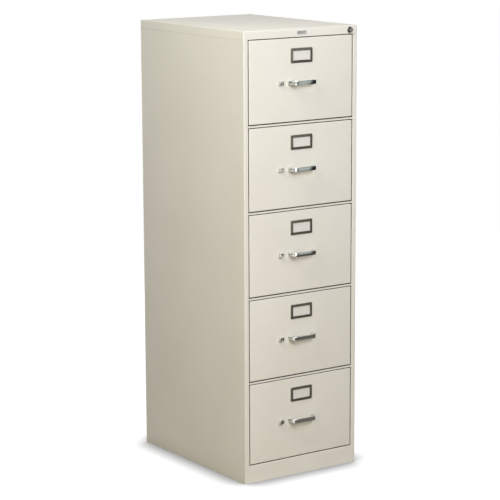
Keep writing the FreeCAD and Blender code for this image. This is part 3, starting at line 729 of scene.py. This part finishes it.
def lock_ring():
    """Lock barrel with its rolled bezel."""
    low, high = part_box("lock_housing")
    bezel = 10.5 * MM
    bore = 8.3 * MM
    profile = [
        (bore, high.y),
        (bezel, high.y),
        (bezel, low.y + 0.9 * MM),
        (bezel - 0.25 * MM, low.y + 0.35 * MM),
        (bezel - 0.9 * MM, low.y),
        (bore + 0.7 * MM, low.y + 0.1 * MM),
        (bore, low.y + 0.6 * MM),
        (bore, high.y),
    ]
    rings = turned_rings((LOCK_SIDE, LOCK_HEIGHT), profile)
    mesh = mesh_of("lock_bezel", *lofted(rings, capped=False))
    piece = finished("lock_bezel", mesh, "case", "chrome", "lock_chrome")
    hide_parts("lock_housing")


def badge():
    """Bare plate on the top rail, with a turned-down edge."""
    half = (18.5 * MM, 5.5 * MM)
    profile = []
    for inset, proud in ((0, 0), (0, 0.7), (0.25, 1.0), (0.8, 1.15), (1.3, 1.0), (1.6, 0.85)):
        profile.append((inset * MM, FRONT - proud * MM, (1.8 - inset * 0.5) * MM))
    rings = nested_rings((BADGE_SIDE, BADGE_HEIGHT), half, profile)
    mesh = mesh_of("badge_plate_bare", *lofted(rings))
    finished("badge_plate_bare", mesh, "case", "zinc_steel", "badge")


# What repeats: rivets and the knob's grip bars

def new_tree(name, sizes, output):
    """Node tree for points, the identifiers of its sizes, and its start and end nodes."""
    geometry = "NodeSocketGeometry"
    tree = bpy.data.node_groups.new(name, "GeometryNodeTree")
    tree.interface.new_socket("Points", in_out="INPUT", socket_type=geometry)
    inputs = {}
    for size, kind in sizes.items():
        socket = tree.interface.new_socket(size, in_out="INPUT", socket_type=kind)
        inputs[size] = socket.identifier
    tree.interface.new_socket(output, in_out="OUTPUT", socket_type=geometry)
    return tree, inputs, put(tree, "NodeGroupInput"), put(tree, "NodeGroupOutput")


def stand_on_points(tree, start, shape, shape_output, finish, end, output):
    """The shape on every point, as real mesh in its finish."""
    place = put(tree, "GeometryNodeInstanceOnPoints")
    real = put(tree, "GeometryNodeRealizeInstances")
    coat = put(tree, "GeometryNodeSetMaterial", Material=FINISH[finish])
    join(tree, start, "Points", place, "Points")
    join(tree, shape, shape_output, place, "Instance")
    join(tree, place, "Instances", real, "Geometry")
    join(tree, real, "Geometry", coat, "Geometry")
    join(tree, coat, "Geometry", end, output)


def heads_tree():
    """Node tree that sets a domed head of a given half size on every point."""
    sizes = {"Half size": "NodeSocketVector"}
    tree, inputs, start, end = new_tree("domed heads", sizes, "Heads")
    ball = put(tree, "GeometryNodeMeshUVSphere", Segments=14, Rings=6, Radius=1.0)
    squash = put(tree, "GeometryNodeTransform")
    soft = put(tree, "GeometryNodeSetShadeSmooth")
    join(tree, start, "Half size", squash, "Scale")
    join(tree, ball, "Mesh", squash, "Geometry")
    join(tree, squash, "Geometry", soft, "Geometry")
    stand_on_points(tree, start, soft, "Geometry", "zinc_steel", end, "Heads")
    return tree, inputs


def grip_tree():
    """Node tree that stands a slim bar, round at its edges, on every point."""
    sizes = dict.fromkeys(("Length", "Width", "Height", "Edge"), "NodeSocketFloat")
    tree, inputs, start, end = new_tree("grip bars", sizes, "Bars")
    section = put(tree, "GeometryNodeCurvePrimitiveQuadrilateral")
    round_off = put(tree, "GeometryNodeFilletCurve", mode="POLY", Count=3, Limit_Radius=True)
    line = put(tree, "GeometryNodeCurvePrimitiveLine")
    solid = put(tree, "GeometryNodeCurveToMesh", Fill_Caps=True)
    join(tree, start, "Height", section, "Width")
    join(tree, start, "Width", section, "Height")
    join(tree, section, "Curve", round_off, "Curve")
    join(tree, start, "Edge", round_off, "Radius")
    for line_end, share in (("Start", -0.5), ("End", 0.5)):
        level = put(tree, "ShaderNodeMath", operation="MULTIPLY")
        level.inputs[1].default_value = share
        place = put(tree, "ShaderNodeCombineXYZ")
        join(tree, start, "Length", level, 0)
        join(tree, level, 0, place, "Z")
        join(tree, place, "Vector", line, line_end)
    join(tree, line, "Curve", solid, "Curve")
    join(tree, round_off, "Curve", solid, "Profile Curve")
    stand_on_points(tree, start, solid, "Mesh", "chrome", end, "Bars")
    return tree, inputs


def repeated(points, tree, inputs, sizes):
    """Plain mesh of what a node tree stands on a list of points."""
    seats = bpy.data.meshes.new("seats")
    seats.from_pydata(points, [], [])
    holder = placed("seats", seats)
    modifier = holder.modifiers.new("seats", "NODES")
    modifier.node_group = tree
    for size, value in sizes.items():
        modifier[inputs[size]] = value
    return settled(holder)


def drawer_rivets(n):
    """Rivets that hold the drawer rails to the tray, seen on both sides of it."""
    low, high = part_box(f"drawer_{n}_rails")
    z = low.z + 8 * MM
    side = 195.7 * MM
    first = low.y + 40 * MM
    run = high.y - low.y - 110 * MM
    gaps = 4
    points = [(x, first + step * run / gaps, z) for x in (-side, side) for step in range(gaps + 1)]
    mesh = repeated(points, *heads_tree(), {"Half size": (1.1 * MM, 2.6 * MM, 2.6 * MM)})
    finished(f"drawer_{n}_rivets", mesh, f"drawer_{n}", "zinc_steel")


def grip_bars(n):
    """Five upright bars across the knob's face for the thumb, flat on top."""
    z = measured(f"latch_{n}")[2][1]
    pitch = 2.7 * MM
    y = FRONT - KNOB_REACH + 0.25 * MM
    points = [(LATCH_SIDE + step * pitch, y, z) for step in (-2, -1, 0, 1, 2)]
    sizes = {"Length": 9.6 * MM, "Width": 1.7 * MM, "Height": 0.9 * MM, "Edge": 0.25 * MM}
    mesh = repeated(points, *grip_tree(), sizes)
    finished(f"latch_{n}_grip", mesh, f"latch_{n}", "chrome")


# Studio

# Lamps: place, target, width in metres, power in watts, colour
LAMPS = {
    "front": ((-0.6, -4.2, 2.6), (0, -0.3, 0.8), 1.8, 114.6, (1.0, 1.0, 1.03)),
    "front high": ((0.5, -2.5, 2.6), (0, -0.3, 1.1), 1.2, 23, (0.90, 1.0, 1.20)),
    "side": ((-2.0, -0.6, 2.0), (0, -0.1, 1.2), 1.0, 12.1, (0.98, 1.0, 0.94)),
    "side high": ((-1.7, -0.9, 3.0), (-0.2, -0.2, 1.0), 1.0, 38.9, (0.99, 1.0, 0.97)),
    "side low": ((-1.6, -1.5, 0.6), (-0.2, -0.1, 0.5), 0.8, 6.1, (1.07, 1.0, 0.82)),
    "sky": ((0.2, 0.4, 4.0), (0, 0, 1.5), 2.6, 6.7, (1.12, 1.0, 0.61)),
    "rear": ((1.2, 2.8, 0.8), (0, 0.1, 0.8), 1.2, 14.4, (1.0, 0.99, 0.97)),
    "right": ((2.8, 0.2, 0.8), (0, 0, 0.8), 1.2, 9.9, (1.0, 0.99, 0.97)),
}

# Planes of the reflected cards, in metres
BACKDROP = -3.7
BACKDROP_HEIGHT = 2.4
DARK_END = -2.1
FLOOR_CARD = 3 * MM
CEILING = 3.0

# Tones of the studio, linear
BLACK = (0.01, 0.01, 0.01)
SOOT = (0.09, 0.085, 0.08)
SMOKE = (0.18, 0.16, 0.14)
GREY = (0.36, 0.38, 0.37)
LIGHT_GREY = (0.52, 0.57, 0.55)
PALE = (0.62, 0.63, 0.61)
WHITE = (1.0, 1.0, 1.0, 1.0)
WARM_WHITE = (1.0, 0.99, 0.97, 1.0)
FLOOR_BOUNCE = (0.40, 0.35, 0.27, 1.0)
FLOOR_SHADE = (0.12, 0.12, 0.12, 1.0)


def soft_light(name, place, target, width, power, colour):
    data = bpy.data.lights.new(name, "AREA")
    data.size = width
    data.energy = power
    data.color = colour
    aim = (Vector(target) - Vector(place)).to_track_quat("-Z", "Y")
    placed(name, data).matrix_world = Matrix.Translation(place) @ aim.to_matrix().to_4x4()


def shown_apart(tree, lighting, shown, out):
    """One shader where the camera, a reflection or glass shows a surface, another for its light."""
    path = put(tree, "ShaderNodeLightPath")
    first = put(tree, "ShaderNodeMath", operation="MAXIMUM")
    second = put(tree, "ShaderNodeMath", operation="MAXIMUM")
    mix = put(tree, "ShaderNodeMixShader")
    join(tree, path, "Is Camera Ray", first, 0)
    join(tree, path, "Is Glossy Ray", first, 1)
    join(tree, first, 0, second, 0)
    join(tree, path, "Is Transmission Ray", second, 1)
    join(tree, second, 0, mix, 0)
    join(tree, lighting, 0, mix, 1)
    join(tree, shown, 0, mix, 2)
    join(tree, mix, 0, out, "Surface")


def white_world():
    """White to the eye and in reflections, with hardly any light of its own."""
    world = bpy.data.worlds.new("studio")
    bpy.context.scene.world = world
    world.use_nodes = True
    tree = world.node_tree
    tree.nodes.clear()
    lighting = put(tree, "ShaderNodeBackground", Strength=0.05, Color=WARM_WHITE)
    shown = put(tree, "ShaderNodeBackground", Strength=1.0, Color=WHITE)
    shown_apart(tree, lighting, shown, put(tree, "ShaderNodeOutputWorld"))


def level_sheet(left, right, near, far, z):
    return [(left, near, z), (right, near, z), (right, far, z), (left, far, z)]


def facing_sheet(left, right, y, height):
    return [(left, y, 0), (right, y, 0), (right, y, height), (left, y, height)]


def side_sheet(x, near, far, height):
    return [(x, near, 0), (x, far, 0), (x, far, height), (x, near, height)]


def studio_sheet(name, corners, material_name):
    """One flat sheet of the studio, with an empty node tree for its material."""
    mesh = bpy.data.meshes.new(name)
    mesh.from_pydata(corners, [], [[0, 1, 2, 3]])
    material = bpy.data.materials.new(material_name)
    material.use_nodes = True
    material.node_tree.nodes.clear()
    mesh.materials.append(material)
    return placed(name, mesh), material.node_tree


def pale_floor():
    """Floor that glows white to the camera and keeps the cabinet's shadow: a contact shadow painted
    where ambient occlusion dims the glow, and the lamps' shadow in its faint diffuse part.
    """
    reach = 30.0
    corners = level_sheet(-reach, reach, -reach, reach, 0)
    floor, tree = studio_sheet("floor", corners, "white floor")
    bounce = put(tree, "ShaderNodeBsdfDiffuse", Color=FLOOR_BOUNCE)
    matt = put(tree, "ShaderNodeBsdfDiffuse", Color=FLOOR_SHADE)
    # painted contact shadow: ambient occlusion dims the floor's glow close to the cabinet
    near = put(tree, "ShaderNodeAmbientOcclusion", Distance=0.115, samples=24)
    glow = put(tree, "ShaderNodeEmission")
    join(tree, spread(tree, near, "AO", 0.22, 1.0, 0.48, 0.93), 0, glow, "Strength")
    shown = put(tree, "ShaderNodeAddShader")
    join(tree, matt, 0, shown, 0)
    join(tree, glow, 0, shown, 1)
    shown_apart(tree, bounce, shown, put(tree, "ShaderNodeOutputMaterial"))


def reflected_card(name, corners, tone):
    """Glowing studio card that only shiny parts see, a painted reflection; it lights nothing else
    and hides from the camera.
    """
    piece, tree = studio_sheet(name, corners, name)
    glow = put(tree, "ShaderNodeEmission", Strength=1.0, Color=tone + (1.0,))
    join(tree, glow, "Emission", put(tree, "ShaderNodeOutputMaterial"), "Surface")
    # painted reflection: the card glows, and only glossy rays see it
    for ray in ("camera", "diffuse", "shadow", "transmission", "volume_scatter"):
        setattr(piece, "visible_" + ray, False)


def reflected_cards():
    """Painted reflections of a dark studio round the cabinet, glowing cards for the pulls, knobs
    and lock to mirror.
    """
    far_floor = level_sheet(-4.0, 4.0, BACKDROP, DARK_END, FLOOR_CARD)
    near_floor = level_sheet(-4.0, 4.0, DARK_END, FRONT - 40 * MM, FLOOR_CARD)
    ahead = facing_sheet(-0.25, 2.15, BACKDROP, BACKDROP_HEIGHT)
    ahead_left = facing_sheet(-5.0, -2.9, BACKDROP, BACKDROP_HEIGHT)
    ahead_right = facing_sheet(2.15, 2.62, BACKDROP, BACKDROP_HEIGHT)
    for name, corners, tone in (
        ("dark floor far ahead", far_floor, SOOT),
        ("dark floor ahead", near_floor, SMOKE),
        ("black card ahead", ahead, BLACK),
        ("grey card left", ahead_left, GREY),
        ("pale card left", side_sheet(-4.0, -1.3, 1.8, CEILING), PALE),
        ("grey card ahead", ahead_right, LIGHT_GREY),
        ("black card right", side_sheet(2.62, BACKDROP, 1.6, CEILING), BLACK),
        ("black card above", level_sheet(-0.8, 3.0, BACKDROP, -0.7, CEILING), BLACK),
    ):
        reflected_card(name, corners, tone)


def camera():
    """Camera that stands, turns and tips as it did for the photograph."""
    ahead = Vector((
        math.sin(CAMERA_YAW) * math.cos(CAMERA_PITCH),
        math.cos(CAMERA_YAW) * math.cos(CAMERA_PITCH),
        -math.sin(CAMERA_PITCH),
    ))
    level = Vector((math.cos(CAMERA_YAW), -math.sin(CAMERA_YAW), 0))
    upward = level.cross(ahead)
    right = level * math.cos(CAMERA_ROLL) + upward * math.sin(CAMERA_ROLL)
    up = upward * math.cos(CAMERA_ROLL) - level * math.sin(CAMERA_ROLL)
    turn = Matrix((right, up, -ahead)).transposed().to_4x4()
    data = bpy.data.cameras.new("camera")
    data.lens = CAMERA_LENS
    data.sensor_width = CAMERA_SENSOR
    data.clip_end = CAMERA_FAR
    eye = placed("camera", data)
    eye.matrix_world = Matrix.Translation(CAMERA_PLACE) @ turn
    bpy.context.scene.camera = eye


# Putting it together

for part in frame["record"]["subparts"]:
    node = frame["nodes"][part["node"]]
    node.data.materials.clear()
    node.data.materials.append(FINISH[part["material_slot"]])

for name in (
    "side_panel_left", "side_panel_right", "top_cap", "base_frame", "divider_rails", "back_panel"
):
    smoothed(name, "case_paint")
smoothed("case_rollers", "nylon")
for n in NUMBERS:
    drawer_face(n)
    pull(n)
    thumb_latch(n)
    grip_bars(n)
    card_frame(n)
    card(n)
    drawer_rivets(n)
    smoothed(f"cradle_{n}_rollers", "nylon")
base_weld()
lock_ring()
smoothed("lock_plunger", "chrome", "lock_chrome")
smoothed("lock_core", "lock_brass")
badge()

white_world()
pale_floor()
camera()
for name, lamp in LAMPS.items():
    soft_light(name, *lamp)
reflected_cards()
bpy.context.scene.view_settings.view_transform = "Standard"
